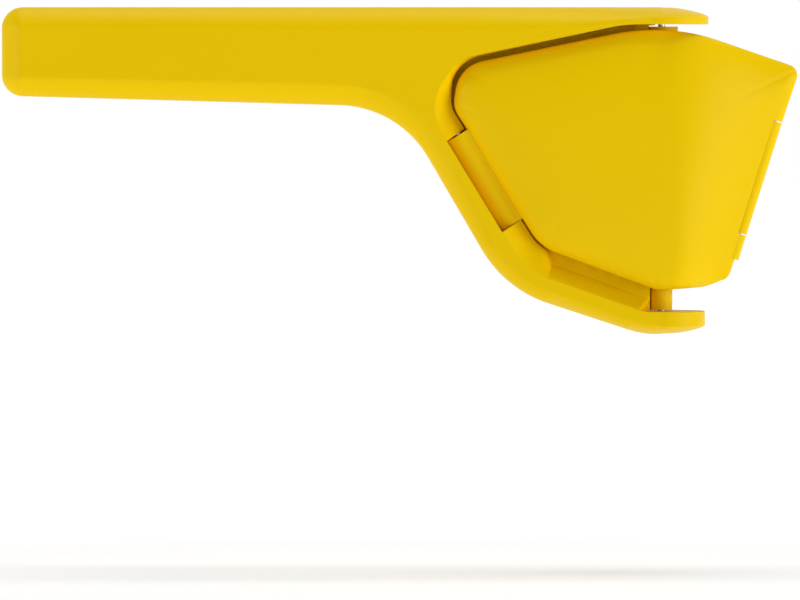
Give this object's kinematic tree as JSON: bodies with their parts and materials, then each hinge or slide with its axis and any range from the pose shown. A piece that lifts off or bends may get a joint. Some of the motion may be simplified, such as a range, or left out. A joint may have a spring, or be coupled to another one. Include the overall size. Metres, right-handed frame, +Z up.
{
  "type": "citrus squeezer",
  "caption": "Folding two-handle citrus squeezer: cored grip halves on an upright pivot, with two domed press plates on slanted hinges in a C-shaped head.",
  "frame": {"origin": "bottom centre of the folded squeezer's box, on the parting plane of the two handles", "axes": "+X from the grip towards the head, +Z up the pivot axis, -Y out of the front handle"},
  "size_m": [0.25, 0.0344, 0.1028],
  "materials": {
    "handle_plastic": "satin moulded nylon",
    "plate_plastic": "satin moulded nylon",
    "pin_steel": "drawn stainless wire"
  },
  "bodies": {
    "front_frame": {"front_handle": "handle_plastic", "top_pivot_pin": "pin_steel", "bottom_pivot_pin": "pin_steel", "front_plate_pin": "pin_steel"},
    "rear_frame": {"rear_handle": "handle_plastic", "rear_plate_pin": "pin_steel"},
    "front_plate": {"front_press_plate": "plate_plastic", "plate_joint_pin": "pin_steel"},
    "rear_plate": {"rear_press_plate": "plate_plastic"}
  },
  "joints": [
    {"name": "squeeze", "type": "hinge", "parent": "front_frame", "child": "rear_frame", "pos_m": [0.0823, 0, 0.05], "axis": [0, 0, -1], "range_deg": [0, 44]},
    {"name": "front_plate_hinge", "type": "hinge", "parent": "front_frame", "child": "front_plate", "pos_m": [0.02689, -0.00652, 0.04839], "axis": [0.5125, 0.0603, -0.8565], "range_deg": [0, 9.4]},
    {"name": "rear_plate_hinge", "type": "hinge", "parent": "rear_frame", "child": "rear_plate", "pos_m": [0.02689, 0.00652, 0.04839], "axis": [-0.5125, 0.0603, 0.8565], "range_deg": [0, 9.4]}
  ],
  "couplings": [
    {"joint": "front_plate_hinge", "follows": "squeeze", "ratio": 0.211},
    {"joint": "rear_plate_hinge", "follows": "squeeze", "ratio": 0.211}
  ]
}
